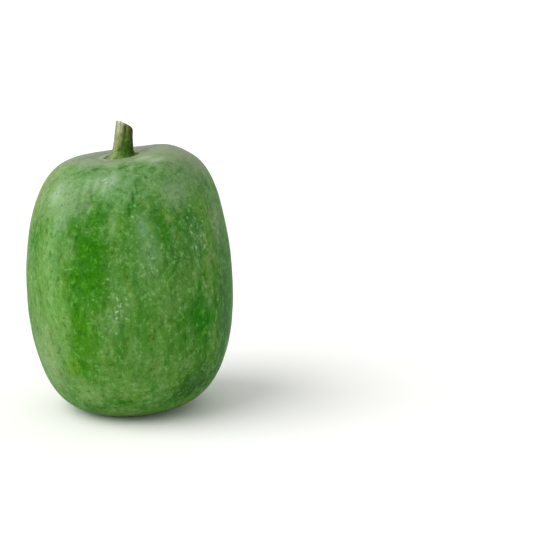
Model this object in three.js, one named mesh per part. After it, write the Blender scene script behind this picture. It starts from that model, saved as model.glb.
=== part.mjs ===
// A small wax gourd (Benincasa hispida), whole and uncut, standing on its flattened blossom end.
// Units are millimetres and +Z is up. The origin is on the table, under the middle of the fruit.
// It has two grown pieces: the fruit, and the stub of its stalk, whose foot sits in the crown's hollow.

import * as THREE from "three";

// ---- The fruit. Its height is counted from its widest level, where z = 0 while it is grown. ----
const BODY_RADIUS = 64; // half of the width at the widest level
const CROWN_RISE = 87.5; // from the widest level up to the crown, before the stem hollow
const BASE_DROP = 76.3; // from the widest level down to the blossom end, before it flattens
const CROWN_FULLNESS = 4.2; // how square the shoulders are; 2 would make an ellipse
const BASE_FULLNESS = 4.11; // the same for the lower half
const CROWN_TILT = new THREE.Vector2(0.127, 0.06); // the crown rises this much per millimetre along X, Y
const CROWN_SADDLE = 0.095; // how far the crown is higher at both sides and lower at front and back
const BASE_TILT = 0.053; // the blossom end rises this much per millimetre along X
const AXIS_LEAN = -0.023; // sideways drift of the axis for each millimetre of height
const OVALNESS = 0.008; // how far the cross-section is from round, as a share of its radius
const RIB_COUNT = 11; // faint ribs that run along the fruit
const RIB_HEIGHT = 0.3; // how far a rib stands out at the widest level
const HOLLOW_DEPTH = 4.7; // the hollow of the crown that the stalk stands in
const HOLLOW_WIDTH = 18; // distance from the stalk at which a third of that depth is left
const FLAT_ABOVE_TIP = 0.3; // the table presses the blossom end flat this far above its tip
const SCAR_DEPTH = 1.4; // the blossom scar, a dimple inside the flat
const SCAR_WIDTH = 4.5;
const HALF_RINGS = 25;
const FRUIT_SEGMENTS = 64;

// ---- The stub of the stalk. Its height is counted from the floor of the hollow. ----
const STALK_ASIDE = -3.95; // where it stands, from the middle of the fruit's widest level along X
const STALK_HEIGHT = 21; // up to the middle of the cut
const STALK_TOP_RADIUS = 5.15;
const STALK_NECK_RADIUS = 6.8; // just above the flare of the foot
const STALK_FOOT_RADIUS = 10.3;
const FLARE_HEIGHT = 2; // height over which two thirds of the flare is gone
const CUT_FALL = 0.58; // how far the cut falls for each millimetre across the stalk
const CUT_BEARING = 0.64; // direction in which it falls, in radians from +X towards +Y
const EDGE_COUNT = 5; // the stalk of a wax gourd has five blunt edges
const EDGE_HEIGHT = 0.08; // how far an edge stands out, as a share of the radius
const EDGE_BEARING = 2.65; // bearing of one edge at the foot, in radians from +X
const EDGE_TWIST = 0.14; // turn of the edges from foot to cut, in radians
const STALK_LEAN = 0.08; // sideways drift of the stalk for each millimetre of height
const STALK_RINGS = 14;
const CAP_RINGS = 4;
const STALK_SEGMENTS = 40;
const JOINT_GAP = 0.35; // clearance between the stalk's foot and the fruit

const FRUIT_GREEN = 0x5f8f4e;
const STALK_GREEN = 0x76803f;

// How far the crown is higher at a point than on the fruit's axis, counted before the axis leans.
function crownLift(x, y) {
  return CROWN_TILT.x * x + CROWN_TILT.y * y + (CROWN_SADDLE * (x * x - y * y)) / BODY_RADIUS;
}

// The floor of the hollow, where the stalk stands, and its place from the axis along X.
const FROM_AXIS = STALK_ASIDE - AXIS_LEAN * CROWN_RISE;
const SEAT_RISE = CROWN_RISE + crownLift(FROM_AXIS, 0) - HOLLOW_DEPTH;
const STALK_SEAT = new THREE.Vector3(STALK_ASIDE, 0, SEAT_RISE);

// 1 at the middle, and a third of that at the given width.
function bell(distance, width) {
  return Math.exp(-((distance / width) ** 2));
}

// Moves every vertex of a geometry with a function that changes its point.
function reshape(geometry, grow) {
  const position = geometry.getAttribute("position");
  const point = new THREE.Vector3();
  for (let i = 0; i < position.count; i++) {
    point.fromBufferAttribute(position, i);
    grow(point);
    position.setXYZ(i, point.x, point.y, point.z);
  }
  geometry.computeVertexNormals();
}

// Half of the fruit's side outline, (r / radius) ^ fullness + (z / rise) ^ 2 = 1, from its pole outwards.
function halfOutline(rise, fullness) {
  const outline = [new THREE.Vector2(0, rise)];
  for (let i = 1; i <= HALF_RINGS; i++) {
    const fromPole = (Math.PI / 2) * (i / HALF_RINGS) ** (fullness / 2);
    const radius = BODY_RADIUS * Math.sin(fromPole) ** (2 / fullness);
    outline.push(new THREE.Vector2(radius, rise * Math.cos(fromPole)));
  }
  return outline;
}

// Makes the turned body of the fruit grow uneven, with its hollow, its flat and its scar.
function growFruit(point) {
  const isCrown = point.z > 0;
  const height = isCrown ? point.z / CROWN_RISE : -point.z / BASE_DROP;
  const bearing = Math.atan2(point.y, point.x);
  const rib = (RIB_HEIGHT / BODY_RADIUS) * (1 - height ** 2) * Math.cos(RIB_COUNT * bearing);
  const swell = 1 + OVALNESS * Math.cos(2 * bearing) + rib;
  point.x *= swell;
  point.y *= swell;
  const lift = isCrown ? crownLift(point.x, point.y) : BASE_TILT * point.x;
  point.z += lift * height ** 2;
  point.x += AXIS_LEAN * point.z;
  if (isCrown) {
    const fromStalk = Math.hypot(point.x - STALK_SEAT.x, point.y - STALK_SEAT.y);
    point.z -= HOLLOW_DEPTH * bell(fromStalk, HOLLOW_WIDTH);
  } else {
    const fromScar = Math.hypot(point.x + AXIS_LEAN * BASE_DROP, point.y);
    const scar = fromScar < 2 * SCAR_WIDTH ? SCAR_DEPTH * bell(fromScar, SCAR_WIDTH) : 0;
    point.z = Math.max(point.z, FLAT_ABOVE_TIP - BASE_DROP) + scar;
  }
}

function makeFruit() {
  const base = halfOutline(-BASE_DROP, BASE_FULLNESS);
  const crown = halfOutline(CROWN_RISE, CROWN_FULLNESS).reverse().slice(1);
  const geometry = new THREE.LatheGeometry([...base, ...crown], FRUIT_SEGMENTS);
  geometry.rotateX(Math.PI / 2);
  reshape(geometry, growFruit);
  const skin = new THREE.MeshStandardMaterial({ color: FRUIT_GREEN, roughness: 0.5, metalness: 0 });
  const fruit = new THREE.Mesh(geometry, skin);
  fruit.name = "fruit";
  return fruit;
}

// The stalk's side outline, with its height as a share from 0 at the foot to 1 at the cut.
function stalkOutline() {
  const outline = [];
  for (let i = 0; i < CAP_RINGS; i++) {
    outline.push(new THREE.Vector2((STALK_FOOT_RADIUS * i) / CAP_RINGS, 0));
  }
  for (let i = 0; i <= STALK_RINGS; i++) {
    const share = (i / STALK_RINGS) ** 1.5;
    const flare = (STALK_FOOT_RADIUS - STALK_NECK_RADIUS) * Math.exp((-share * STALK_HEIGHT) / FLARE_HEIGHT);
    const radius = THREE.MathUtils.lerp(STALK_NECK_RADIUS, STALK_TOP_RADIUS, share) + flare;
    outline.push(new THREE.Vector2(radius, share));
  }
  for (let i = CAP_RINGS - 1; i >= 0; i--) {
    outline.push(new THREE.Vector2((STALK_TOP_RADIUS * i) / CAP_RINGS, 1));
  }
  return outline;
}

// Gives the turned stalk its edges, its slanting cut, its lean and a foot that fits the hollow.
function growStalk(point) {
  const share = point.z;
  const bearing = Math.atan2(point.y, point.x) - EDGE_BEARING - EDGE_TWIST * share;
  const edge = 1 + EDGE_HEIGHT * Math.cos(EDGE_COUNT * bearing);
  point.x *= edge;
  point.y *= edge;
  const across = point.x * Math.cos(CUT_BEARING) + point.y * Math.sin(CUT_BEARING);
  const sink = HOLLOW_DEPTH * (1 - bell(Math.hypot(point.x, point.y), HOLLOW_WIDTH));
  const floor = sink + crownLift(FROM_AXIS + point.x, point.y) - crownLift(FROM_AXIS, 0);
  point.z = share * STALK_HEIGHT + (1 - share) * floor - share ** 2 * CUT_FALL * across;
  point.x += STALK_LEAN * share * STALK_HEIGHT;
}

function makeStalk() {
  const geometry = new THREE.LatheGeometry(stalkOutline(), STALK_SEGMENTS);
  geometry.rotateX(Math.PI / 2);
  reshape(geometry, growStalk);
  const rind = new THREE.MeshStandardMaterial({ color: STALK_GREEN, roughness: 0.75, metalness: 0 });
  const stalk = new THREE.Mesh(geometry, rind);
  stalk.name = "stem";
  stalk.position.copy(STALK_SEAT);
  stalk.position.z += JOINT_GAP;
  return stalk;
}

const gourd = new THREE.Group();
gourd.add(makeFruit(), makeStalk());

// Stands the gourd on the table, with the middle of its outline over the origin.
const outline = new THREE.Box3().setFromObject(gourd);
const middle = outline.getCenter(new THREE.Vector3());
gourd.position.set(-middle.x, -middle.y, -outline.min.z);

export default gourd;
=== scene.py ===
"""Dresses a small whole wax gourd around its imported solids.

The gourd has two grown pieces, the fruit and the cut stub of its stalk. Both are modelled here again at
full detail over their solids, in metres, and each gets a finish of its own. Short hairs that the young
fruit still has are a third piece, which lies on the skin.
"""

from __future__ import annotations

import logging
import math
import random
from dataclasses import dataclass, field
from enum import Enum

import bmesh
import bpy
from mathutils import Euler, Matrix, Quaternion, Vector, noise


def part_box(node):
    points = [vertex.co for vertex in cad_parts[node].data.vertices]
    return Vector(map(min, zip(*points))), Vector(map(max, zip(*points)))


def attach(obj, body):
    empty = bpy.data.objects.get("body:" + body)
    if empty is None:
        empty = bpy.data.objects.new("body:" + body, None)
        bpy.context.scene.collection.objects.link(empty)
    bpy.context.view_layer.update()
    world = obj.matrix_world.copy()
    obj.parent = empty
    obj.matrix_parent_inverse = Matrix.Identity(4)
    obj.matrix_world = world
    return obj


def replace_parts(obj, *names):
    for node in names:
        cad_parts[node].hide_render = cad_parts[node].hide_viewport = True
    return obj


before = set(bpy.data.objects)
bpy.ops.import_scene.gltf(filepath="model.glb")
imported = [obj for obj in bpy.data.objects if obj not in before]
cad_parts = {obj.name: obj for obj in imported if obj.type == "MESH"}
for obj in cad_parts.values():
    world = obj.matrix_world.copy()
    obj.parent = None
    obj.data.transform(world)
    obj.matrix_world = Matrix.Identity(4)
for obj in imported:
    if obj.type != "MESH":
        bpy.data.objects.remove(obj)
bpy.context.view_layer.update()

ROOT_BODY = "root"
MILLIMETRE = 0.001
FULL_TURN = 2 * math.pi
GRAIN = "grain"
"""Name of the mesh attribute that says where on a piece a point grew, see Fruit and Stalk."""
MARKS = "marks"
"""Name of the stalk's second mesh attribute, see Stalk."""
SPOT_CORE = 0.2
"""Share of a spot's half-width up to which it shows in full."""
SPOT_END = 1.45
"""Share of that half-width at which it ends."""
FRAY_REACH = 4.0
"""How far noise from 0 to 1 moves the edge of a spot of raggedness 1, as a share of its half-width."""

Colour = tuple[float, float, float, float]
Stretch = tuple[float, float, float]
"""How many units of a pattern there are in a metre, along each of three axes."""
Edge = tuple[float, float]
"""The two lengths in metres between which something fades in, with nothing of it at the first."""
log = logging.getLogger("wax_gourd")


def paint(red: int, green: int, blue: int) -> Colour:
    """Gives the scene-linear colour of a paint chip.

    Args:
        red, green, blue: the chip as it looks on a screen, each from 0 to 255.

    Returns:
        The colour that a shader's socket takes.
    """

    def linear(level: int) -> float:
        """Gives one channel's linear share."""
        share = level / 255
        return share / 12.92 if share <= 0.04045 else ((share + 0.055) / 1.055) ** 2.4

    return (linear(red), linear(green), linear(blue), 1.0)


def bell(distance: float, width: float) -> float:
    """Gives 1 at no distance, and a third of that at the given width."""
    return math.exp(-((distance / width) ** 2))


def smooth_step(value: float, low: float, high: float) -> float:
    """Climbs softly from 0 at low to 1 at high, or the other way round where high is below low."""
    share = min(1.0, max(0.0, (value - low) / (high - low)))
    return share * share * (3 - 2 * share)


# ---------------------------------------------------------------------------------------------------------
# Materials
# ---------------------------------------------------------------------------------------------------------


@dataclass(frozen=True)
class Wire:
    """A number on its way through a material, which Python's operators work on by adding Math nodes.

    Attributes:
        bench: the bench of the material.
        socket: the output that the number comes from.
    """

    bench: Bench
    socket: bpy.types.NodeSocket

    @classmethod
    def of(cls, bench: Bench, number: float) -> Wire:
        """Starts a product or a sum that is to grow, with a plain number."""
        return bench.wire("ShaderNodeMath", {"operation": "ADD"}, {0: number, 1: 0.0})

    def _maths(self, operation: str, first: object, second: object) -> Wire:
        """Adds one Math node for first and second, which are Wires or numbers."""
        return self.bench.wire("ShaderNodeMath", {"operation": operation}, {0: first, 1: second})

    def __add__(self, other: Wire | float) -> Wire:
        """Adds."""
        return self._maths("ADD", self, other)

    def __radd__(self, other: float) -> Wire:
        """Adds to a number."""
        return self._maths("ADD", other, self)

    def __sub__(self, other: Wire | float) -> Wire:
        """Subtracts."""
        return self._maths("SUBTRACT", self, other)

    def __rsub__(self, other: float) -> Wire:
        """Subtracts from a number, as in 1 - mask."""
        return self._maths("SUBTRACT", other, self)

    def __mul__(self, other: Wire | float) -> Wire:
        """Multiplies."""
        return self._maths("MULTIPLY", self, other)

    def __abs__(self) -> Wire:
        """Drops the sign."""
        return self.bench.wire("ShaderNodeMath", {"operation": "ABSOLUTE"}, {0: self})

    def ramp(self, low: float, high: float) -> Wire:
        """Climbs softly between two numbers, or falls where high is below low.

        Args:
            low: where the result is 0.
            high: where it is 1.

        Returns:
            The result, which stays at 0 or 1 beyond them.
        """
        settings = {"interpolation_type": "SMOOTHSTEP"}
        if low < high:
            return self.bench.wire("ShaderNodeMapRange", settings, {0: self, 1: low, 2: high})
        return 1 - self.bench.wire("ShaderNodeMapRange", settings, {0: self, 1: high, 2: low})


class Bench:
    """Builds one material, node by node.

    Attributes:
        material: the Blender material.
        shader: its Principled shader.
    """

    def __init__(self, name: str) -> None:
        """Starts an empty material.

        Args:
            name: the material's name.
        """
        self.material = bpy.data.materials.new(name)
        self.material.use_nodes = True
        self._tree = self.material.node_tree
        self._tree.nodes.clear()
        self.shader = self.node("ShaderNodeBsdfPrincipled")
        self.node("ShaderNodeOutputMaterial", sockets={"Surface": self.shader.outputs["BSDF"]})

    def node(self, kind: str, settings: dict | None = None, sockets: dict | None = None) -> bpy.types.Node:
        """Adds a node.

        Args:
            kind: Blender's name for the type of node.
            settings: its properties, set before its sockets.
            sockets: a value, a Wire or an output socket for each input, by the input's name or number.

        Returns:
            The new node.
        """
        made = self._tree.nodes.new(kind)
        for name, value in (settings or {}).items():
            setattr(made, name, value)
        for name, value in (sockets or {}).items():
            self.plug(made.inputs[name], value)
        return made

    def plug(self, socket: bpy.types.NodeSocket, value: object) -> None:
        """Links a Wire or an output to an input, or sets the input's own value.

        Args:
            socket: the input.
            value: what it gets.
        """
        source = value.socket if isinstance(value, Wire) else value
        if isinstance(source, bpy.types.NodeSocket):
            self._tree.links.new(source, socket)
        else:
            socket.default_value = source

    def wire(
        self, kind: str, settings: dict | None = None, sockets: dict | None = None, out: object = 0
    ) -> Wire:
        """Adds a node as node() does, and gives the output named or numbered by out."""
        return Wire(self, self.node(kind, settings, sockets).outputs[out])

    def place(self) -> Wire:
        """Gives the place on the piece that the mesh's grain attribute holds."""
        return self.wire("ShaderNodeAttribute", {"attribute_name": GRAIN}, out="Vector")

    def parts(self, vector: Wire) -> tuple[Wire, Wire, Wire]:
        """Takes a vector apart."""
        taken = self.node("ShaderNodeSeparateXYZ", None, {"Vector": vector})
        return tuple(Wire(self, taken.outputs[axis]) for axis in "XYZ")

    def distance(self, place: Wire, point: Vector) -> Wire:
        """Gives how far a place is from a point, in metres."""
        sockets = {0: place, 1: point}
        return self.wire("ShaderNodeVectorMath", {"operation": "DISTANCE"}, sockets, out="Value")

    def stretched(self, place: Wire, per_metre: Stretch) -> Wire:
        """Scales a place by so many pattern units per metre along each axis."""
        return self.vector("MULTIPLY", place, per_metre)

    def clouds(self, place: Wire, scale: float = 1.0, detail: float = 3.0, rough: float = 0.5) -> Wire:
        """Gives soft noise around 0.5."""
        sockets = {"Vector": place, "Scale": scale, "Detail": detail, "Roughness": rough}
        return self.wire("ShaderNodeTexNoise", None, sockets)

    def bent(self, place: Wire, scale: float, reach: float) -> Wire:
        """Moves a place about at random, so that what is laid out on it wanders.

        Args:
            place: the place.
            scale: how many bends there are in a metre.
            reach: how far the place moves, in metres.

        Returns:
            The moved place.
        """
        bends = self.node("ShaderNodeTexNoise", None, {"Vector": place, "Scale": scale, "Detail": 1.0})
        sockets = {0: bends.outputs["Color"], 1: (reach,) * 3, 2: place}
        return self.wire("ShaderNodeVectorMath", {"operation": "MULTIPLY_ADD"}, sockets)

    def strokes(self, place: Wire, per_metre: float, width: float) -> Wire:
        """Scatters short straight strokes, each lying its own way but most of them upright.

        Args:
            place: the place.
            per_metre: how many cells there are in a metre, each with one stroke.
            width: half of a stroke's width, as a share of its cell.

        Returns:
            0 off the strokes, and anything from -1 to 1 along their middles.
        """
        spread = self.stretched(place, (per_metre,) * 3)
        cells = self.node("ShaderNodeTexVoronoi", None, {"Vector": spread, "Scale": 1.0})
        away = self.vector("SUBTRACT", spread, cells.outputs["Position"])
        around = self.vector("SUBTRACT", cells.outputs["Color"], (0.5, 0.5, 0.5))
        lie = self.vector("NORMALIZE", self.vector("MULTIPLY", around, (1, 1, 2)))
        off = self.vector("CROSS_PRODUCT", away, lie)
        beside = self.wire("ShaderNodeVectorMath", {"operation": "LENGTH"}, {0: off}, "Value")
        tone = self.wire("ShaderNodeSeparateColor", None, {"Color": cells.outputs["Color"]}) * 2 - 1
        # A stroke fades out before it comes to the border of its cell.
        edge = Wire(self, cells.outputs["Distance"]).ramp(0.85, 0.55)
        return beside.ramp(width, width * 0.3) * edge * tone

    def vector(self, operation: str, first: object, second: object = None) -> Wire:
        """Adds one Vector Math node whose result is a vector."""
        sockets = {0: first} if second is None else {0: first, 1: second}
        return self.wire("ShaderNodeVectorMath", {"operation": operation}, sockets)

    def mix(self, share: Wire | float, first: object, second: object) -> Wire:
        """Mixes two colours, with none of the second where share is 0."""
        return self.wire("ShaderNodeMix", {"data_type": "RGBA"}, {0: share, 6: first, 7: second}, out=2)

    def raise_relief(self, height: Wire, strength: float, depth: float) -> None:
        """Gives the material a fine relief.

        Args:
            height: how high the surface is, in no unit.
            strength: how strong the relief is, from 0 to 1.
            depth: what one step of height is in metres.
        """
        bump = self.wire("ShaderNodeBump", None, {"Strength": strength, "Distance": depth, "Height": height})
        self.plug(self.shader.inputs["Normal"], bump)


def grain_place(bearing: float, along: float, radius: float) -> Vector:
    """Gives the grain of a point, which lays its piece's skin out on an upright cylinder.

    Args:
        bearing: the point's direction round the axis, in radians from +X.
        along: its height over the grain's zero level, in metres.
        radius: the cylinder's radius, in metres.

    Returns:
        The point's place on the cylinder.
    """
    return Vector((radius * math.cos(bearing), radius * math.sin(bearing), along))


@dataclass(frozen=True)
class Spot:
    """A soft-edged place on the fruit or the stalk.

    Attributes:
        strength: how much of it shows at its middle, from 0 to 1.
        bearing: its middle's direction round the axis, in degrees from +X. The front is at 270.
        along: its middle's height along the skin, in millimetres, as the grain attribute counts it.
        wide: half of its width round the piece, in millimetres.
        tall: half of its height, in millimetres.
        ragged: how far noise moves its edge.
    """

    strength: float
    bearing: float
    along: float
    wide: float
    tall: float
    ragged: float = 0.35

    def cover(self, bench: Bench, place: Wire, clouds: Wire, radius: float) -> Wire:
        """Gives how much of the spot shows.

        Args:
            bench: the bench of the material.
            place: the place on the piece.
            clouds: the noise that moves the spot's edge.
            radius: the radius of the cylinder that the piece's grain is laid out on, in metres.

        Returns:
            0 outside the spot, and its strength at its middle.
        """
        middle = grain_place(math.radians(self.bearing), self.along * MILLIMETRE, radius)
        across, upward = 1 / (self.wide * MILLIMETRE), 1 / (self.tall * MILLIMETRE)
        shares = bench.stretched(bench.vector("SUBTRACT", place, middle), (across, across, upward))
        far = bench.distance(shares, Vector()) + (clouds - 0.5) * (FRAY_REACH * self.ragged)
        return far.ramp(SPOT_END, SPOT_CORE) * self.strength


@dataclass(frozen=True)
class Patch(Spot):
    """A spot of another colour.

    Attributes:
        tint: the colour at its middle.
        bare: how much of the skin's felt is rubbed off there, from 0 to 1.
        smooth: how much of the skin's fine grain the wax hides there, from 0 to 1.
    """

    tint: Colour = field(kw_only=True)
    bare: float = 0.0
    smooth: float = 0.0


@dataclass(frozen=True)
class SkinFinish:
    """The waxy green skin of the fruit.

    Attributes:
        radius: the fruit's radius, in metres.
        seat: where the stalk stands on it.
        scar: the middle of its blossom scar.
        patches: patches of another colour, some of which also hold a painted highlight, a painted reflection
            and painted shade.
        scuffs: places where the wax has flaked.
        green: the skin itself, between its streaks.
        deep_green: the long darker streaks.
        vein: the finer streaks between them.
        bloom: the thin wax that dulls the skin in clouds.
        crown_wax: the greyer wax of the crown's front.
        far_wax: the wax of the rest of it.
        shoulder: the bluish bloom below it.
        olive: the riper spots of the skin.
        collar: the pale broken ring round the stalk's foot.
        crease: the painted shade in the crease inside it.
        fuzz: the pale strands of the felt that covers the skin.
        sheen: the lighter strands where the felt is rubbed off.
        pit: the dark gaps in it.
        fleck: flakes of thicker wax.
        ground: the paler skin that lies on the table.
        cork: the dry blossom scar.
        dark_cork: the cracks in it.
        mottle_scale, grain_scale, speck_scale: the skin's coarse, middle and finest noise.
        streak_scale, vein_scale, ripe_scale: the noise of the streaks, the veins and the riper spots.
        crack_scale: the noise of the scar's cracks.
        bend_scale, bend_reach: the bends of these patterns, in a metre, and how far they go, in metres.
        bold_strokes, faint_strokes: how many cells of strokes there are in a metre, and a stroke's width.
        bump_strength, bump_depth: how strong the fine relief is, and its depth in metres.
        shoulder_edge: heights along the skin between which the bluish bloom fades in.
        wax_edge: heights along the skin between which the crown's wax fades in.
        collar_edge, crease_shade_edge: distances from the stalk's seat between which those two fade in.
        ground_edge, cork_edge: distances from the scar between which those two fade in.
    """

    radius: float
    seat: Vector
    scar: Vector
    patches: tuple[Patch, ...] = ()
    scuffs: tuple[Spot, ...] = ()
    green: Colour = paint(70, 122, 28)
    deep_green: Colour = paint(36, 104, 2)
    vein: Colour = paint(34, 96, 4)
    bloom: Colour = paint(99, 140, 67)
    crown_wax: Colour = paint(127, 145, 108)
    far_wax: Colour = paint(132, 137, 121)
    shoulder: Colour = paint(99, 140, 90)
    olive: Colour = paint(112, 130, 58)
    collar: Colour = paint(176, 186, 154)
    crease: Colour = paint(72, 82, 42)
    fuzz: Colour = paint(132, 178, 110)
    sheen: Colour = paint(92, 164, 44)
    pit: Colour = paint(14, 66, 0)
    fleck: Colour = paint(196, 220, 190)
    ground: Colour = paint(128, 148, 76)
    cork: Colour = paint(150, 126, 88)
    dark_cork: Colour = paint(70, 50, 30)
    mottle_scale: Stretch = (110, 110, 60)
    grain_scale: Stretch = (330, 330, 190)
    speck_scale: Stretch = (900, 900, 620)
    streak_scale: Stretch = (75, 75, 10)
    vein_scale: Stretch = (230, 230, 42)
    ripe_scale: Stretch = (150, 150, 90)
    crack_scale: Stretch = (240, 240, 900)
    bend_scale: float = 170
    bend_reach: float = 0.003
    bold_strokes: tuple[float, float] = (240, 0.3)
    faint_strokes: tuple[float, float] = (430, 0.34)
    bump_strength: float = 0.4
    bump_depth: float = 0.0005
    shoulder_edge: Edge = (0.07, 0.115)
    wax_edge: Edge = (0.126, 0.142)
    collar_edge: Edge = (0.015, 0.012)
    crease_shade_edge: Edge = (0.0114, 0.0103)
    ground_edge: Edge = (0.034, 0.014)
    cork_edge: Edge = (0.0062, 0.0042)

    def make(self) -> bpy.types.Material:
        """Builds the material.

        Returns:
            The material.
        """
        bench = Bench("fruit_skin")
        place = bench.place()
        where = bench.wire("ShaderNodeTexCoord", out="Object")
        across, behind, _ = bench.parts(where)
        _, _, along = bench.parts(place)
        skin = bench.wire("ShaderNodeCombineXYZ", None, {"X": across, "Y": behind, "Z": along})
        bent = bench.bent(skin, self.bend_scale, self.bend_reach)
        mottle = bench.clouds(bench.stretched(bent, self.mottle_scale), detail=5, rough=0.62)
        grain = bench.clouds(bench.stretched(bent, self.grain_scale), detail=3, rough=0.6)
        fray = mottle * 0.75 + grain * 0.25
        colour, bloom = self._flesh(bench, skin, along, mottle)
        colour, wax = self._crown(bench, where, along, mottle, colour)
        # What is left of the felt, and how much of the fine grain the wax doesn't hide.
        felt, rough = Wire.of(bench, 1.0), 1 - wax * 0.5
        for patch in self.patches:
            cover = patch.cover(bench, place, fray, self.radius)
            colour = bench.mix(cover, colour, patch.tint)
            if patch.bare:
                felt = felt * (1 - cover * patch.bare)
            if patch.smooth:
                rough = rough * (1 - cover * patch.smooth)
        colour, dry = self._ends(bench, where, skin, mottle, colour)
        felt = felt * (1 - dry)
        # Over all colours lie the felt's dark gaps and pale strands, and then the flakes of wax.
        specks = bench.clouds(bench.stretched(skin, self.speck_scale), detail=1, rough=0.6)
        strokes = bench.strokes(bent, *self.bold_strokes) + bench.strokes(bent, *self.faint_strokes) * 0.8
        fine = grain + (specks - 0.5) * 0.35
        dark = fine.ramp(0.5, 0.22) * 0.62 + strokes.ramp(-0.1, -1.0) * 0.32
        colour = bench.mix(dark * (1.0 - felt * 0.1) * rough, colour, self.pit)
        light = fine.ramp(0.5, 0.8) * 0.54 + strokes.ramp(0.1, 1.0) * 0.34
        tuft = bench.mix(felt, self.sheen, self.fuzz)
        colour = bench.mix(light * (1.0 - felt * 0.1) * rough, colour, tuft)
        flecks = self._flecks(bench, place, fray, fine, strokes)
        colour = bench.mix(flecks, colour, self.fleck)
        bench.plug(bench.shader.inputs["Base Color"], colour)
        bench.plug(bench.shader.inputs["Roughness"], 0.42 + bloom * 0.3 + felt * 0.08 + dry * 0.3)
        bench.plug(bench.shader.inputs["Coat Weight"], (bloom * 0.3 + felt * 0.1) * (1 - dry))
        bench.shader.inputs["Coat Roughness"].default_value = 0.4
        bench.shader.inputs["Specular IOR Level"].default_value = 0.04
        height = grain * 1.2 + specks * 0.3 + strokes * 0.3 + flecks * 0.6 + mottle * 1.5
        bench.raise_relief(height, self.bump_strength, self.bump_depth)
        return bench.material

    def _flesh(self, bench: Bench, skin: Wire, along: Wire, mottle: Wire) -> tuple[Wire, Wire]:
        """Gives the skin's green, with its long streaks and its bloom.

        Args:
            bench: the bench of the material.
            skin: the place that the skin's patterns are laid out on.
            along: the height along the skin.
            mottle: the skin's coarse noise.

        Returns:
            The colour, and how thick the bloom is.
        """
        streaks = bench.clouds(bench.stretched(skin, self.streak_scale), detail=4, rough=0.55)
        colour = bench.mix(streaks.ramp(0.42, 0.6) * 0.9, self.green, self.deep_green)
        veins = bench.clouds(bench.stretched(skin, self.vein_scale), detail=3, rough=0.6)
        colour = bench.mix(veins.ramp(0.48, 0.34) * 0.6, colour, self.vein)
        bloom = mottle.ramp(0.44, 0.66) * 0.5 + veins.ramp(0.52, 0.68) * 0.4
        colour = bench.mix(bloom, colour, self.bloom)
        ripe = bench.clouds(bench.stretched(skin, self.ripe_scale), detail=3)
        colour = bench.mix(ripe.ramp(0.54, 0.7) * 0.4, colour, self.olive)
        shoulder = (along + mottle * 0.03).ramp(*self.shoulder_edge) * (0.25 + mottle.ramp(0.35, 0.6) * 0.4)
        return bench.mix(shoulder, colour, self.shoulder), bloom + shoulder * 0.5

    def _crown(self, bench: Bench, where: Wire, along: Wire, mottle: Wire, under: Wire) -> tuple[Wire, Wire]:
        """Lays the grey wax of the crown over the skin.

        Args:
            bench: the bench of the material.
            where: the place in space.
            along: the height along the skin.
            mottle: the skin's coarse noise.
            under: the colour below the wax.

        Returns:
            The colour, and how thick the wax is.
        """
        across, behind, _ = bench.parts(where)
        # The wax comes further down at both sides, at the back, and most of all at the right shoulder.
        reach = along + mottle * 0.03 + abs(across) * 0.16 + behind.ramp(-0.03, 0.02) * 0.012
        reach = reach + across.ramp(0.005, 0.045) * 0.018
        thin = bench.clouds(bench.bent(where, 60, 0.02), scale=70, detail=4, rough=0.6)
        wax = reach.ramp(*self.wax_edge) * (0.9 - thin.ramp(0.5, 0.7) * 0.4)
        colour = bench.mix(behind.ramp(-0.03, 0.01), self.crown_wax, self.far_wax)
        return bench.mix(wax, under, colour), wax

    def _ends(self, bench: Bench, where: Wire, skin: Wire, mottle: Wire, under: Wire) -> tuple[Wire, Wire]:
        """Colours the skin round the stalk's foot and the blossom scar, and paints shade into the crease
        round the foot.

        Args:
            bench: the bench of the material.
            where: the place in space.
            skin: the place that the skin's patterns are laid out on.
            mottle: the skin's coarse noise.
            under: the colour of the rest of the skin.

        Returns:
            The colour, and how corky the skin is.
        """
        stalk = bench.distance(where, self.seat) + (mottle - 0.5) * 0.004
        broken = bench.clouds(skin, scale=420, detail=2).ramp(0.35, 0.6)
        colour = bench.mix(stalk.ramp(*self.collar_edge) * broken * 0.85, under, self.collar)
        # Painted shade in the crease round the stalk's foot.
        colour = bench.mix(stalk.ramp(*self.crease_shade_edge) * 0.95, colour, self.crease)
        scar = bench.distance(where, self.scar) + (mottle - 0.5) * 0.006
        colour = bench.mix(scar.ramp(*self.ground_edge) * 0.8, colour, self.ground)
        dry = scar.ramp(*self.cork_edge)
        cracks = bench.clouds(bench.stretched(skin, self.crack_scale), detail=4, rough=0.7)
        cork = bench.mix(cracks.ramp(0.42, 0.6), self.dark_cork, self.cork)
        return bench.mix(dry, colour, cork), dry

    def _flecks(self, bench: Bench, place: Wire, fray: Wire, fine: Wire, strokes: Wire) -> Wire:
        """Gives the flakes of wax, most of them on the scuffs.

        Args:
            bench: the bench of the material.
            place: the place on the fruit.
            fray: the noise that moves the scuffs' edges.
            fine: the skin's finest noise.
            strokes: the strokes of its felt.

        Returns:
            How much of the flakes shows.
        """
        thick = Wire.of(bench, 0.0)
        for scuff in self.scuffs:
            thick = thick + scuff.cover(bench, place, fray, self.radius)
        wisps = strokes.ramp(0.2, 1.0) * 0.6 + fine.ramp(0.52, 0.76) * 0.5
        return thick.ramp(0.1, 1.1) * (0.04 + wisps * 0.7)


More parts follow.
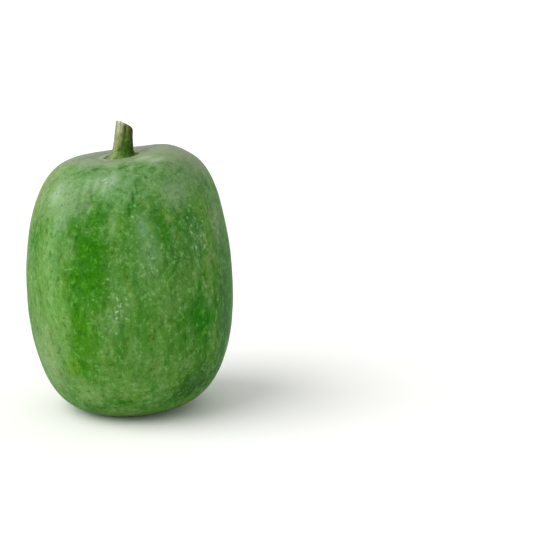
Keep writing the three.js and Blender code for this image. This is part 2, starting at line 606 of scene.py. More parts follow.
@dataclass(frozen=True)
class StalkFinish:
    """The ridged rind of the stalk, and its dry cut.

    Attributes:
        radius: the radius of the circle that the stalk's grain is laid out on, in metres.
        patches: patches of another colour, partly painted highlight and painted shade.
        green: the rind on the ridges.
        furrow: the darker rind down in the furrows, with painted shade in them.
        fibre: the pale dry fibres along it.
        wart: small dark specks.
        rim: the green rim of the cut.
        pith: the drying middle of the cut.
        bundle: the darker ring of sap bundles in it.
        fibre_scale, blotch_scale, cut_scale: the noise of the fibres, of the blotches and of the cut.
        ring_radius: how far the sap bundles are from the axis, as a share of the cut's radius.
        bend_scale, bend_reach: the bends of the fibres, in a metre, and how far they go, in metres.
        bump_strength, bump_depth: how strong the fine relief is, and its depth in metres.
    """

    radius: float
    patches: tuple[Patch, ...] = ()
    green: Colour = paint(92, 118, 48)
    furrow: Colour = paint(32, 44, 8)
    fibre: Colour = paint(172, 180, 130)
    wart: Colour = paint(54, 70, 24)
    rim: Colour = paint(84, 112, 44)
    pith: Colour = paint(186, 186, 136)
    bundle: Colour = paint(122, 118, 66)
    fibre_scale: Stretch = (1500, 1500, 160)
    blotch_scale: Stretch = (430, 430, 320)
    cut_scale: Stretch = (900, 900, 900)
    ring_radius: float = 0.66
    bend_scale: float = 300
    bend_reach: float = 0.002
    bump_strength: float = 0.6
    bump_depth: float = 0.0005

    def make(self) -> bpy.types.Material:
        """Builds the material.

        Returns:
            The material.
        """
        bench = Bench("stalk_rind")
        place = bench.place()
        marks = bench.wire("ShaderNodeAttribute", {"attribute_name": MARKS}, out="Vector")
        ridge, cut, outward = bench.parts(marks)
        bent = bench.bent(place, self.bend_scale, self.bend_reach)
        fibres = bench.clouds(bench.stretched(bent, self.fibre_scale), detail=4, rough=0.65)
        blotches = bench.clouds(bench.stretched(bent, self.blotch_scale), detail=5, rough=0.65)
        _, _, along = bench.parts(place)
        # Darker rind and painted shade down in the furrows, which the noise breaks up, and which end above
        # the foot.
        furrow_shade = (ridge + (blotches - 0.5) * 1.6).ramp(-0.05, -0.8) * along.ramp(0.002, 0.018)
        colour = bench.mix(fibres.ramp(0.52, 0.7) * 0.4, self.green, self.fibre)
        colour = bench.mix(blotches.ramp(0.52, 0.66) * 0.35, colour, self.fibre)
        colour = bench.mix(furrow_shade * 0.9, colour, self.furrow)
        for patch in self.patches:
            colour = bench.mix(patch.cover(bench, place, blotches, self.radius), colour, patch.tint)
        colour = bench.mix(fibres.ramp(0.52, 0.72) * 0.12, colour, self.fibre)
        colour = bench.mix(fibres.ramp(0.48, 0.32) * 0.35, colour, self.wart)
        colour = bench.mix(blotches.ramp(0.5, 0.36) * 0.6, colour, self.wart)
        ends = bench.clouds(bench.stretched(bent, self.cut_scale), detail=4, rough=0.7)
        face = bench.mix((outward + (ends - 0.5) * 0.3).ramp(0.72, 0.86), self.pith, self.rim)
        ring = (abs(outward - self.ring_radius) + (ends - 0.5) * 0.25).ramp(0.12, 0.02)
        face = bench.mix(ring * 0.7, face, self.bundle)
        colour = bench.mix(cut, colour, face)
        bench.plug(bench.shader.inputs["Base Color"], colour)
        bench.plug(bench.shader.inputs["Roughness"], 0.55 + fibres * 0.25 + cut * 0.15)
        bench.shader.inputs["Specular IOR Level"].default_value = 0.08
        height = fibres + blotches * 0.8 + ends * cut
        bench.raise_relief(height, self.bump_strength, self.bump_depth)
        return bench.material


@dataclass(frozen=True)
class HairFinish:
    """The short clear hairs of a young fruit.

    Attributes:
        pale: the whiter hairs.
        green: those that the skin shows through.
    """

    pale: Colour = paint(186, 206, 160)
    green: Colour = paint(120, 160, 84)

    def make(self) -> bpy.types.Material:
        """Builds the material.

        Returns:
            The material.
        """
        bench = Bench("skin_hairs")
        where = bench.wire("ShaderNodeTexCoord", out="Object")
        clouds = bench.clouds(where, scale=160, detail=2)
        colour = bench.mix(clouds.ramp(0.35, 0.65), self.green, self.pale)
        bench.plug(bench.shader.inputs["Base Color"], colour)
        bench.shader.inputs["Roughness"].default_value = 0.6
        bench.shader.inputs["Specular IOR Level"].default_value = 0.2
        return bench.material


# ---------------------------------------------------------------------------------------------------------
# The gourd
# ---------------------------------------------------------------------------------------------------------


def finish_piece(
    name: str, work: bmesh.types.BMesh, material: bpy.types.Material
) -> bpy.types.Object:
    """Turns a bmesh into a piece that rides on the gourd.

    Args:
        name: the piece's name.
        work: the bmesh, which is freed.
        material: its material.

    Returns:
        The piece.
    """
    mesh = bpy.data.meshes.new(name)
    work.to_mesh(mesh)
    work.free()
    mesh.shade_smooth()
    mesh.materials.append(material)
    piece = bpy.data.objects.new(name, mesh)
    bpy.context.scene.collection.objects.link(piece)
    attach(piece, ROOT_BODY)
    log.info("%s: %d faces", name, len(mesh.polygons))
    return piece


def turned(outline: list[Vector], segments: int) -> bmesh.types.BMesh:
    """Turns an outline in the XZ plane, from axis to axis, into a closed body round Z.

    Args:
        outline: its points, from the bottom up.
        segments: steps of the turn.

    Returns:
        The body, with its poles closed and its faces outwards.
    """
    work = bmesh.new()
    line = [work.verts.new(point) for point in outline]
    edges = [work.edges.new(pair) for pair in zip(line, line[1:])]
    turn = {"cent": (0, 0, 0), "axis": (0, 0, 1), "dvec": (0, 0, 0), "angle": FULL_TURN}
    bmesh.ops.spin(work, geom=line + edges, steps=segments, use_merge=True, **turn)
    bmesh.ops.remove_doubles(work, verts=work.verts, dist=1e-7)
    bmesh.ops.recalc_face_normals(work, faces=work.faces)
    return work


PATCHES = (
    # Round the left side.
    # Greyish wax round the upper left, partly a painted reflection along the grazing edge.
    Patch(0.65, bearing=203, along=88, wide=26, tall=30, tint=paint(126, 148, 100)),
    # The next two are wax bloom with a painted highlight of the upper left light over it.
    Patch(0.8, bearing=228, along=82, wide=17, tall=20, smooth=0.3, tint=paint(120, 150, 104)),
    Patch(0.55, bearing=221, along=83, wide=6, tall=10, ragged=0.7, smooth=0.3, tint=paint(148, 174, 136)),
    Patch(0.55, bearing=210, along=82, wide=3.5, tall=20, ragged=0.5, tint=paint(78, 126, 46)),
    Patch(0.5, bearing=196, along=80, wide=6, tall=30, tint=paint(112, 124, 66)),
    Patch(0.7, bearing=227, along=30, wide=9, tall=40, tint=paint(106, 152, 80)),
    Patch(0.4, bearing=231, along=62, wide=7, tall=11, ragged=0.6, tint=paint(126, 158, 118)),
    Patch(0.6, bearing=236, along=-14, wide=10, tall=28, tint=paint(102, 148, 66)),
    Patch(0.6, bearing=214, along=10, wide=14, tall=30, tint=paint(90, 134, 50)),
    Patch(0.7, bearing=218, along=-40, wide=18, tall=30, tint=paint(122, 148, 94)),
    # Over the front.
    # Wax haze under the crown's front, with a painted sheen over it.
    Patch(0.65, bearing=258, along=100, wide=17, tall=10, smooth=0.2, tint=paint(114, 144, 102)),
    Patch(0.35, bearing=245, along=96, wide=2.4, tall=9, ragged=0.8, smooth=0.3, tint=paint(148, 176, 142)),
    Patch(0.35, bearing=253, along=98, wide=2, tall=8, ragged=0.9, smooth=0.3, tint=paint(148, 176, 140)),
    Patch(0.4, bearing=260, along=93, wide=2, tall=8, ragged=0.9, smooth=0.3, tint=paint(150, 178, 142)),
    Patch(0.6, bearing=266, along=104, wide=5, tall=7, ragged=0.6, smooth=0.3, tint=paint(140, 166, 142)),
    Patch(0.6, bearing=222, along=110, wide=16, tall=5, ragged=0.6, tint=paint(100, 140, 78)),
    Patch(0.8, bearing=244, along=113, wide=4.5, tall=3, ragged=0.8, tint=paint(56, 104, 44)),
    Patch(0.75, bearing=231, along=111, wide=5, tall=3, ragged=0.9, tint=paint(60, 108, 46)),
    Patch(0.8, bearing=271, along=114, wide=3, tall=3, ragged=0.7, tint=paint(54, 102, 40)),
    Patch(0.45, bearing=284, along=112, wide=11, tall=5, ragged=0.8, tint=paint(78, 122, 60)),
    Patch(0.45, bearing=292, along=130, wide=18, tall=4, ragged=0.6, tint=paint(92, 128, 60)),
    Patch(0.8, bearing=287, along=97, wide=2.6, tall=4, ragged=0.6, tint=paint(50, 102, 30)),
    Patch(0.55, bearing=286, along=91, wide=10, tall=9, ragged=0.5, tint=paint(72, 122, 46)),
    Patch(0.75, bearing=301, along=106, wide=6, tall=4, ragged=0.7, tint=paint(58, 106, 44)),
    Patch(1.0, bearing=253.5, along=35, wide=15, tall=43, ragged=0.3, bare=1.0, tint=paint(38, 104, 0)),
    Patch(0.9, bearing=248, along=-20, wide=11, tall=38, ragged=0.3, bare=0.9, tint=paint(54, 114, 4)),
    Patch(0.65, bearing=262, along=2, wide=7, tall=24, tint=paint(60, 114, 20)),
    Patch(0.6, bearing=267, along=60, wide=4, tall=13, tint=paint(98, 142, 74)),
    Patch(0.35, bearing=247, along=78, wide=6, tall=14, ragged=0.6, tint=paint(94, 112, 76)),
    Patch(0.7, bearing=286, along=42, wide=11, tall=34, smooth=0.2, tint=paint(82, 128, 64)),
    Patch(0.45, bearing=284, along=57, wide=4, tall=9, ragged=0.6, smooth=0.3, tint=paint(112, 152, 116)),
    Patch(0.25, bearing=289, along=40, wide=8, tall=9, ragged=0.8, tint=paint(104, 144, 98)),
    Patch(0.6, bearing=278, along=44, wide=7, tall=26, tint=paint(62, 118, 32)),
    Patch(0.6, bearing=269, along=21, wide=8, tall=14, tint=paint(54, 118, 22)),
    Patch(0.7, bearing=249, along=13, wide=12, tall=15, bare=0.5, tint=paint(42, 110, 0)),
    Patch(0.2, bearing=238, along=6, wide=6, tall=17, tint=paint(104, 156, 58)),
    Patch(0.6, bearing=296, along=3, wide=10, tall=15, tint=paint(60, 114, 34)),
    Patch(0.85, bearing=297, along=52, wide=6, tall=14, bare=0.6, tint=paint(34, 104, 0)),
    Patch(0.75, bearing=283.5, along=91, wide=1.1, tall=7, ragged=0.4, tint=paint(28, 90, 8)),
    Patch(0.75, bearing=280.5, along=82, wide=1.0, tall=8, ragged=0.4, tint=paint(28, 90, 8)),
    Patch(0.7, bearing=277.5, along=72, wide=1.1, tall=8, ragged=0.4, tint=paint(28, 90, 8)),
    Patch(0.5, bearing=291, along=-20, wide=34, tall=30, tint=paint(74, 124, 40)),
    Patch(0.6, bearing=272, along=-50, wide=20, tall=14, tint=paint(94, 138, 60)),
    # Painted shade on the lower right, over the green there.
    Patch(0.8, bearing=311, along=-68, wide=14, tall=11, tint=paint(36, 88, 10)),
    Patch(0.65, bearing=237, along=-39, wide=7, tall=10, tint=paint(84, 132, 12)),
    Patch(0.8, bearing=244, along=-64, wide=14, tall=13, tint=paint(106, 142, 74)),
    Patch(0.6, bearing=268, along=-90, wide=30, tall=10, tint=paint(94, 128, 48)),
    # Round the right side.
    Patch(0.8, bearing=330, along=92, wide=27, tall=18, smooth=0.3, tint=paint(97, 127, 79)),
    Patch(0.5, bearing=312, along=115, wide=12, tall=2.6, ragged=1.2, tint=paint(158, 178, 148)),
    Patch(0.5, bearing=302, along=124, wide=12, tall=3.5, ragged=1.2, tint=paint(162, 178, 154)),
    Patch(0.5, bearing=309, along=79, wide=12, tall=12, ragged=0.5, tint=paint(122, 148, 112)),
    Patch(0.8, bearing=325, along=97, wide=6, tall=4.5, ragged=0.45, tint=paint(60, 104, 42)),
    Patch(0.4, bearing=324, along=120, wide=14, tall=6, ragged=0.7, tint=paint(104, 130, 80)),
    Patch(0.7, bearing=333, along=72, wide=6, tall=6, ragged=0.7, tint=paint(62, 104, 34)),
    Patch(0.65, bearing=342, along=48, wide=10, tall=19, ragged=0.7, tint=paint(126, 148, 106)),
    Patch(0.7, bearing=309, along=40, wide=14, tall=22, tint=paint(54, 108, 34)),
    Patch(0.6, bearing=307, along=14, wide=8, tall=14, tint=paint(80, 124, 50)),
    Patch(0.95, bearing=317, along=-9, wide=15, tall=19, bare=1.0, tint=paint(28, 104, 0)),
    # Deep green down the right edge, darkened further there as painted shade.
    Patch(0.85, bearing=343, along=-5, wide=16, tall=60, bare=1.0, tint=paint(20, 88, 0)),
    # Painted shade on the lower right, where the fruit turns from the light.
    Patch(0.8, bearing=323, along=-60, wide=20, tall=18, tint=paint(26, 80, 6)),
)
# The patches that the skin has, apart from its streaks and its bloom, some of them with painted highlight,
# reflection and shade.
"""The patches that the skin has, apart from its streaks and its bloom."""

SCUFFS = (
    Spot(1.0, bearing=265, along=-9, wide=8, tall=9, ragged=0.6),
    Spot(1.0, bearing=271, along=6, wide=7, tall=13, ragged=0.6),
    Spot(0.5, bearing=266, along=24, wide=6, tall=12, ragged=0.5),
    Spot(0.8, bearing=319, along=46, wide=9, tall=22, ragged=0.5),
    Spot(0.5, bearing=287, along=36, wide=9, tall=24, ragged=0.5),
    Spot(0.6, bearing=261, along=100, wide=14, tall=9, ragged=0.5),
    Spot(1.0, bearing=312, along=117, wide=14, tall=6, ragged=0.6),
    Spot(0.8, bearing=338, along=44, wide=5, tall=12, ragged=0.5),
    Spot(0.6, bearing=24, along=-8, wide=9, tall=18, ragged=0.5),
    Spot(0.7, bearing=112, along=34, wide=12, tall=20, ragged=0.5),
    Spot(0.6, bearing=171, along=12, wide=9, tall=24, ragged=0.5),
)
"""The places where the wax has flaked."""

STALK_PATCHES = (
    # Pale patches on the left, where the light falls, partly painted highlight over the pale dry rind.
    Patch(0.9, bearing=204, along=13, wide=4, tall=20, tint=paint(150, 151, 122)),
    Patch(0.9, bearing=243, along=17, wide=3.4, tall=9, tint=paint(172, 176, 132)),
    Patch(0.95, bearing=244, along=25, wide=5.6, tall=5, tint=paint(222, 222, 196)),
    Patch(0.6, bearing=250, along=12, wide=2.6, tall=4, ragged=0.5, tint=paint(112, 130, 72)),
    Patch(0.85, bearing=243, along=4, wide=4, tall=8, tint=paint(124, 150, 88)),
    # A pale streak on a small ridge, partly painted highlight.
    Patch(0.85, bearing=303, along=21, wide=1.1, tall=4, tint=paint(156, 160, 112)),
    # Dark patches on the right, partly painted shade over the darker green rind.
    Patch(0.85, bearing=328, along=20, wide=4, tall=6, tint=paint(62, 64, 18)),
    Patch(0.95, bearing=297, along=6, wide=4.6, tall=9, tint=paint(46, 90, 4)),
    Patch(0.85, bearing=342, along=8, wide=3.4, tall=14, tint=paint(36, 62, 6)),
)
# The patches that the stalk has, the pale ones on its left partly painted highlight and the dark ones on its
# right partly painted shade.
"""The patches that the stalk has."""


def far_patches(count: int = 16, seed: int = 5) -> tuple[Patch, ...]:
    """Gives the patches of the fruit's back and right, which are scattered by chance.

    Args:
        count: how many there are.
        seed: what the chance starts from.

    Returns:
        The patches, from the right round the back to the left.
    """
    first_bearing, sweep = -5, 205
    chance = random.Random(seed)
    kinds = (
        {"tint": paint(34, 102, 2), "strength": 0.85, "bare": 0.7},
        {"tint": paint(108, 146, 88), "strength": 0.65},
        {"tint": paint(88, 130, 70), "strength": 0.7},
        {"tint": paint(100, 136, 60), "strength": 0.6},
    )
    patches = []
    for number in range(count):
        bearing = first_bearing + sweep * (number + chance.uniform(0.1, 0.9)) / count
        along, wide, tall = chance.uniform(-60, 80), chance.uniform(7, 14), chance.uniform(14, 40)
        kind = kinds[number % len(kinds)]
        patches.append(Patch(bearing=bearing, along=along, wide=wide, tall=tall, **kind))
    return tuple(patches)


class End(Enum):
    """The two halves of the fruit, above and below its widest level."""

    CROWN = 1
    BASE = -1


@dataclass
class Fruit:
    """The whole fruit, from its flattened blossom end to the hollow that the stalk stands in.

    Lengths are in metres. The fruit is grown round its own axis, with z = 0 at its widest level, and then
    moved to where its solid stands. Its grain attribute holds a point's bearing, as a place on a circle of
    the fruit's radius, and its distance over the skin from the widest level.

    Attributes:
        body_radius: half of the width at the widest level.
        crown_rise: from the widest level up to the crown, before the hollow.
        base_drop: from the widest level down to the blossom end, before it flattens.
        crown_fullness, base_fullness: how square the two halves are. 2 would make an ellipse.
        crown_tilt: how much the crown rises per metre along X and Y.
        crown_saddle: how far the crown is higher at both sides and lower at front and back.
        base_tilt: how much the blossom end rises per metre along X.
        axis_lean: sideways drift of the axis per metre of height.
        ovalness: how far the cross-section is from round, as a share of its radius.
        rib_count: how many faint ribs run along the fruit.
        rib_height: how far a rib stands out at the widest level.
        hollow_depth, hollow_width: the crown's hollow, with a third of its depth left at its width.
        stalk_aside: where the stalk stands along X.
        shoulder_fall: how far the right shoulder falls below the crown's own shape.
        shoulder_from, shoulder_width: where along X it falls most, and where a third of that is left.
        flat_above_tip: how far above its tip the table presses the blossom end flat.
        flat_edge: over how much height the flat's edge is rounded.
        scar_depth, scar_width: the dimple of the blossom scar, measured like the hollow.
        swell_height, swells_per_metre: the skin's slow swells.
        dent_height, dents_per_metre: its small dents.
        uneven_edge: distances from the stalk's seat between which the swells and dents fade in.
        crease_radius, crease_width, crease_depth: the crease round the stalk's foot.
        lip_radius, lip_width, lip_height: the lip round the crease.
        pucker_count, pucker_radius, pucker_width, pucker_height: the puckers round the lip.
        pucker_wander, pucker_noise: how far noise turns them, in radians of their wave, and its scale.
        crack_count, crack_reach, crack_depth: the cracks that run out from the middle of the scar.
        crack_wander, crack_noise: how far noise turns them, counted like the puckers.
        half_rings: rings of faces in each half.
        segments: faces round the fruit.
        offset: from the place where the fruit is grown to the place where it stands, found by build.
    """

    body_radius: float = 0.064
    crown_rise: float = 0.0875
    base_drop: float = 0.0763
    crown_fullness: float = 4.2
    base_fullness: float = 4.11
    crown_tilt: tuple[float, float] = (0.127, 0.06)
    crown_saddle: float = 0.095
    base_tilt: float = 0.053
    axis_lean: float = -0.023
    ovalness: float = 0.008
    rib_count: int = 11
    rib_height: float = 0.0003
    hollow_depth: float = 0.0047
    hollow_width: float = 0.018
    stalk_aside: float = -0.00395
    shoulder_fall: float = 0.0024
    shoulder_from: float = 0.039
    shoulder_width: float = 0.012
    flat_above_tip: float = 0.0003
    flat_edge: float = 0.0004
    scar_depth: float = 0.0014
    scar_width: float = 0.0045
    swell_height: float = 0.0005
    swells_per_metre: float = 28
    dent_height: float = 0.00016
    dents_per_metre: float = 95
    uneven_edge: Edge = (0.008, 0.02)
    crease_radius: float = 0.0102
    crease_width: float = 0.0009
    crease_depth: float = 0.0004
    lip_radius: float = 0.012
    lip_width: float = 0.0012
    lip_height: float = 0.0004
    pucker_count: int = 10
    pucker_radius: float = 0.017
    pucker_width: float = 0.006
    pucker_height: float = 0.00022
    pucker_wander: float = 2.5
    pucker_noise: float = 90
    crack_count: int = 7
    crack_reach: float = 0.0035
    crack_depth: float = 0.0005
    crack_wander: float = 4
    crack_noise: float = 300
    half_rings: int = 170
    segments: int = 264
    offset: Vector = field(default_factory=Vector)

    def build(self) -> bmesh.types.BMesh:
        """Models the fruit and finds where it stands.

        Returns:
            The fruit, in its solid's place.
        """
        outline = self._half_outline(End.BASE)
        outline += self._half_outline(End.CROWN)[::-1][1:]
        work = turned(outline, self.segments)
        grain = work.verts.layers.float_vector.new(GRAIN)
        for vertex in work.verts:
            vertex[grain] = self._grain(vertex.co)
            vertex.co = self.grow(vertex.co)
        low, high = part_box("fruit")
        across = [vertex.co.x for vertex in work.verts]
        behind = [vertex.co.y for vertex in work.verts]
        bottom = self.flat_above_tip - self.base_drop
        middle = Vector(((min(across) + max(across)) / 2, (min(behind) + max(behind)) / 2, bottom))
        self.offset = Vector(((low.x + high.x) / 2, (low.y + high.y) / 2, low.z)) - middle
        work.normal_update()
        for vertex in work.verts:
            vertex.co += self._relief(vertex.co, vertex.normal) + self.offset
        work.normal_update()
        return work

    def dress(self, work: bmesh.types.BMesh) -> bpy.types.Object:
        """Gives the fruit its skin and has it stand in for its solid.

        Args:
            work: the fruit, which is freed.

        Returns:
            The piece.
        """
        seat, scar = self.seat() + self.offset, self.scar() + self.offset
        finish = SkinFinish(self.body_radius, seat, scar, PATCHES + far_patches(), SCUFFS)
        piece = finish_piece("fruit_skin", work, finish.make())
        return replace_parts(piece, "fruit")

    def grow(self, point: Vector) -> Vector:
        """Moves a point of the turned body to where it is on the grown fruit.

        Args:
            point: the point, with z = 0 at the widest level.

        Returns:
            Its place, before the offset.
        """
        end = End.CROWN if point.z > 0 else End.BASE
        height = abs(point.z) / self._rise(end)
        bearing = math.atan2(point.y, point.x)
        rib = self.rib_height / self.body_radius * (1 - height**2) * math.cos(self.rib_count * bearing)
        swell = 1 + self.ovalness * math.cos(2 * bearing) + rib
        x, y = point.x * swell, point.y * swell
        lift = self.crown_lift(x, y) if end is End.CROWN else self.base_tilt * x
        z = point.z + lift * height**2
        x += self.axis_lean * z
        if end is End.CROWN:
            seat = self.seat()
            z -= self.hollow_depth * bell(math.hypot(x - seat.x, y - seat.y), self.hollow_width)
            z -= self.shoulder_fall * bell(x - self.shoulder_from, self.shoulder_width) * height**2
        else:
            scar = self.scar()
            z = self._pressed(z) + self.scar_depth * bell(math.hypot(x - scar.x, y), self.scar_width)
        return Vector((x, y, z))

    def crown_lift(self, x: float, y: float) -> float:
        """Gives how far the crown is higher at x and y than on the axis, counted before the axis leans."""
        saddle = self.crown_saddle * (x * x - y * y) / self.body_radius
        return self.crown_tilt[0] * x + self.crown_tilt[1] * y + saddle

    @property
    def stalk_from_axis(self) -> float:
        """Where the stalk stands, from the axis along X."""
        return self.stalk_aside - self.axis_lean * self.crown_rise

    def seat(self) -> Vector:
        """Gives the hollow's floor, where the stalk stands, before the offset."""
        rise = self.crown_rise + self.crown_lift(self.stalk_from_axis, 0) - self.hollow_depth
        return Vector((self.stalk_aside, 0, rise))

    def scar(self) -> Vector:
        """Gives the middle of the blossom scar, before the offset."""
        return Vector((-self.axis_lean * self.base_drop, 0, self.flat_above_tip - self.base_drop))

    def _rise(self, end: End) -> float:
        """Gives the height of one half."""
        return self.crown_rise if end is End.CROWN else self.base_drop

    def _half_outline(self, end: End) -> list[Vector]:
        """Gives half of the side outline, (r / radius) ** fullness + (z / rise) ** 2 = 1.

        Args:
            end: which half.

        Returns:
            Its points, from the pole to the widest level.
        """
        fullness = self.crown_fullness if end is End.CROWN else self.base_fullness
        rise = end.value * self._rise(end)
        outline = [Vector((0, 0, rise))]
        for ring in range(1, self.half_rings + 1):
            from_pole = math.pi / 2 * (ring / self.half_rings) ** (fullness / 2)
            radius = self.body_radius * math.sin(from_pole) ** (2 / fullness)
            outline.append(Vector((radius, 0, rise * math.cos(from_pole))))
        outline[-1].z = 0
        return outline

    def _grain(self, point: Vector) -> Vector:
        """Gives the grain of a point of the turned body.

        Args:
            point: the point, with z = 0 at the widest level.

        Returns:
            Its grain, where the distance over the skin is taken as height and inward distance together.
        """
        inward = self.body_radius - math.hypot(point.x, point.y)
        along = point.z + math.copysign(inward, point.z)
        return grain_place(math.atan2(point.y, point.x), along, self.body_radius)

    def _pressed(self, z: float) -> float:
        """Keeps a height above the table, with a soft edge round the flat.

        Args:
            z: the height.

        Returns:
            The height that the table leaves of it.
        """
        above = z - (self.flat_above_tip - self.base_drop)
        if above >= self.flat_edge:
            return z
        return z - above + max(0.0, above + self.flat_edge) ** 2 / (4 * self.flat_edge)

    def _relief(self, point: Vector, normal: Vector) -> Vector:
        """Gives what the skin's slow swells, small dents and end marks move a point by.

        Args:
            point: the point on the grown fruit, before the offset.
            normal: its normal.

        Returns:
            The movement.
        """
        elsewhere = Vector((3.1, 0, 0))
        swell = noise.noise(point * self.swells_per_metre) * self.swell_height
        dents = noise.noise(point * self.dents_per_metre + elsewhere) * self.dent_height
        uneven = (swell + dents) * smooth_step(point.z, -self.base_drop, -self.base_drop * 0.8)
        if point.z > 0:
            away = point - self.seat()
            uneven *= smooth_step(away.length, *self.uneven_edge)
            uneven += self._collar(away)
        else:
            uneven -= self._cork(point - self.scar())
        return normal * uneven

    def _collar(self, away: Vector) -> float:
        """Gives the crease, the lip and the puckers round the stalk's foot.

        Args:
            away: from the stalk's seat to the point.

        Returns:
            How far they stand out at the point, in metres.
        """
        far = math.hypot(away.x, away.y)
        wander = self.pucker_wander * noise.noise(away * self.pucker_noise)
        pucker = math.cos(self.pucker_count * math.atan2(away.y, away.x) + wander)
        crease = -self.crease_depth * bell(far - self.crease_radius, self.crease_width)
        lip = self.lip_height * bell(far - self.lip_radius, self.lip_width)
        return crease + lip + self.pucker_height * pucker * bell(far - self.pucker_radius, self.pucker_width)

    def _cork(self, away: Vector) -> float:
        """Gives the cracks of the blossom scar.

        Args:
            away: from the middle of the scar to the point.

        Returns:
            How far they go into the fruit at the point, in metres.
        """
        wander = self.crack_wander * noise.noise(away * self.crack_noise)
        bearing = math.atan2(away.y, away.x)
        cracks = (0.5 + 0.5 * math.cos(self.crack_count * bearing + wander)) ** 4
        return bell(math.hypot(away.x, away.y), self.crack_reach) * cracks * self.crack_depth


@dataclass
class Stalk:
    """The cut stub of the stalk, with five blunt edges and a flared foot.

    Lengths are in metres. Its grain attribute holds a point's bearing, as a place on a circle of the neck's
    radius, and its height over the foot. Its marks attribute holds how far out of a furrow a point is, as
    _ridge gives it, whether it is on the cut, and how far it is from the axis, as a share of the top's
    radius.

    Attributes:
        height: from the hollow's floor up to the middle of the cut.
        top_radius: the radius at the cut.
        neck_radius: the radius just above the flare of the foot.
        foot_radius: the radius of the foot.
        flare_height: height over which two thirds of the flare is gone.
        cut_fall: how far the cut falls per metre across the stalk.
        cut_bearing: direction in which it falls, in radians from +X towards +Y.
        cut_rounding: radius of the rounding of its rim.
        cut_dish: how far its middle is sunk.
        dish_floor: how wide the deepest part of that is, as a share of the cut.
        cut_from: the height above which a point may be on the cut, as a share of the stalk's.
        edge_count: how many blunt edges the stalk has.
        edge_height: how far an edge stands out, as a share of the radius.
        edge_bearing: bearing of one edge at the foot, in radians from +X.
        edge_twist: turn of the edges from foot to cut, in radians.
        furrow_width: half of the width of the furrow between two edges, in radians.
        rib_count: how many small ribs there are round the stalk.
        rib_height: how far such a rib stands out, as a share of the radius.
        rib_wander, rib_noise: how far noise turns the ribs, in radians of their wave, and its scale.
        lump_height, knob_height: how far its wide lumps and its small knobs stand out, as such shares.
        lump_noise, knob_noise: the scales of their noise.
        noise_rise: how far the stalk rises in the space of that noise, where its radius is 1.
        lean: sideways drift per metre of height.
        aside: how far it stands to the right of its solid.
        sunk: how far its foot is pressed into the crease.
        rings, corner_rings, cap_rings: rings of faces on its side, on the rim's rounding and on the cut.
        crowding: how far the rings on its side crowd at the foot. 1 would space them evenly.
        segments: faces round it.
    """

    height: float = 0.0215
    top_radius: float = 0.0048
    neck_radius: float = 0.0064
    foot_radius: float = 0.0099
    flare_height: float = 0.002
    cut_fall: float = 0.58
    cut_bearing: float = 0.64
    cut_rounding: float = 0.0006
    cut_dish: float = 0.0005
    dish_floor: float = 0.3
    cut_from: float = 0.9
    edge_count: int = 5
    edge_height: float = 0.08
    edge_bearing: float = 2.82
    edge_twist: float = 0.21
    furrow_width: float = 0.2
    rib_count: int = 19
    rib_height: float = 0.014
    rib_wander: float = 3
    rib_noise: float = 3
    lump_height: float = 0.03
    knob_height: float = 0.022
    lump_noise: float = 2.3
    knob_noise: float = 6.5
    noise_rise: float = 3
    lean: float = 0.09
    aside: float = 0.0004
    sunk: float = 0.0002
    rings: int = 90
    corner_rings: int = 6
    cap_rings: int = 16
    crowding: float = 1.3
    segments: int = 180

    def build(self, fruit: Fruit) -> bmesh.types.BMesh:
        """Models the stalk on the fruit's crown.

        Args:
            fruit: the fruit, which is built.

        Returns:
            The stalk, in its solid's place.
        """
        work = turned(self._outline(), self.segments)
        grain = work.verts.layers.float_vector.new(GRAIN)
        marks = work.verts.layers.float_vector.new(MARKS)
        seat = fruit.seat() + fruit.offset - Vector((0, 0, self.sunk))
        for vertex in work.verts:
            outward, share = math.hypot(vertex.co.x, vertex.co.y), vertex.co.z
            bearing = math.atan2(vertex.co.y, vertex.co.x)
            is_top = share > self.cut_from
            on_cut = smooth_step(self.top_radius - outward, 0.0, self.cut_rounding) if is_top else 0.0
            vertex[grain] = grain_place(bearing, share * self.height, self.neck_radius)
            vertex[marks] = Vector((self._ridge(bearing, share), on_cut, outward / self.top_radius))
            vertex.co = self._grow(vertex.co, fruit) + seat
        return work

    def dress(self, work: bmesh.types.BMesh) -> bpy.types.Object:
        """Gives the stalk its rind and has it stand in for its solid.

        Args:
            work: the stalk, which is freed.

        Returns:
            The piece.
        """
        finish = StalkFinish(self.neck_radius, STALK_PATCHES)
        piece = finish_piece("stalk_stub", work, finish.make())
        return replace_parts(piece, "stem")

    def _outline(self) -> list[Vector]:
        """Gives the side outline.

        Returns:
            Its points, from axis to axis, with heights as shares of the stalk's height.
        """
        outline = [Vector((0, 0, 0))]
        corner = self.cut_rounding / self.height
        spread = self.foot_radius - self.neck_radius
        for ring in range(self.rings + 1):
            share = (ring / self.rings) ** self.crowding * (1 - corner)
            flare = spread * math.exp(-share * self.height / self.flare_height)
            radius = self.neck_radius + (self.top_radius - self.neck_radius) * share + flare
            outline.append(Vector((radius, 0, share)))
        shoulder = outline[-1].x - self.cut_rounding
        for ring in range(1, self.corner_rings + 1):
            turn = math.pi / 2 * ring / self.corner_rings
            rise = 1 - corner * (1 - math.sin(turn))
            outline.append(Vector((shoulder + self.cut_rounding * math.cos(turn), 0, rise)))
        for ring in range(self.cap_rings - 1, -1, -1):
            radius = shoulder * ring / self.cap_rings
            dish = self.cut_dish / self.height * smooth_step(radius, shoulder, shoulder * self.dish_floor)
            outline.append(Vector((radius, 0, 1 - dish)))
        return outline

    def _ridge(self, bearing: float, share: float) -> float:
        """Gives how far out of a furrow a place on the side is.

        Args:
            bearing: its direction round the axis, in radians from +X.
            share: its height, as a share of the stalk's.

        Returns:
            A number from -1 in a furrow to 0.85 on an edge.
        """
        turn = (bearing - self.edge_bearing - self.edge_twist * share) * self.edge_count
        from_furrow = math.acos(-math.cos(turn)) / self.edge_count
        return 0.5 * math.cos(turn) + 0.35 - 0.85 * bell(from_furrow, self.furrow_width)

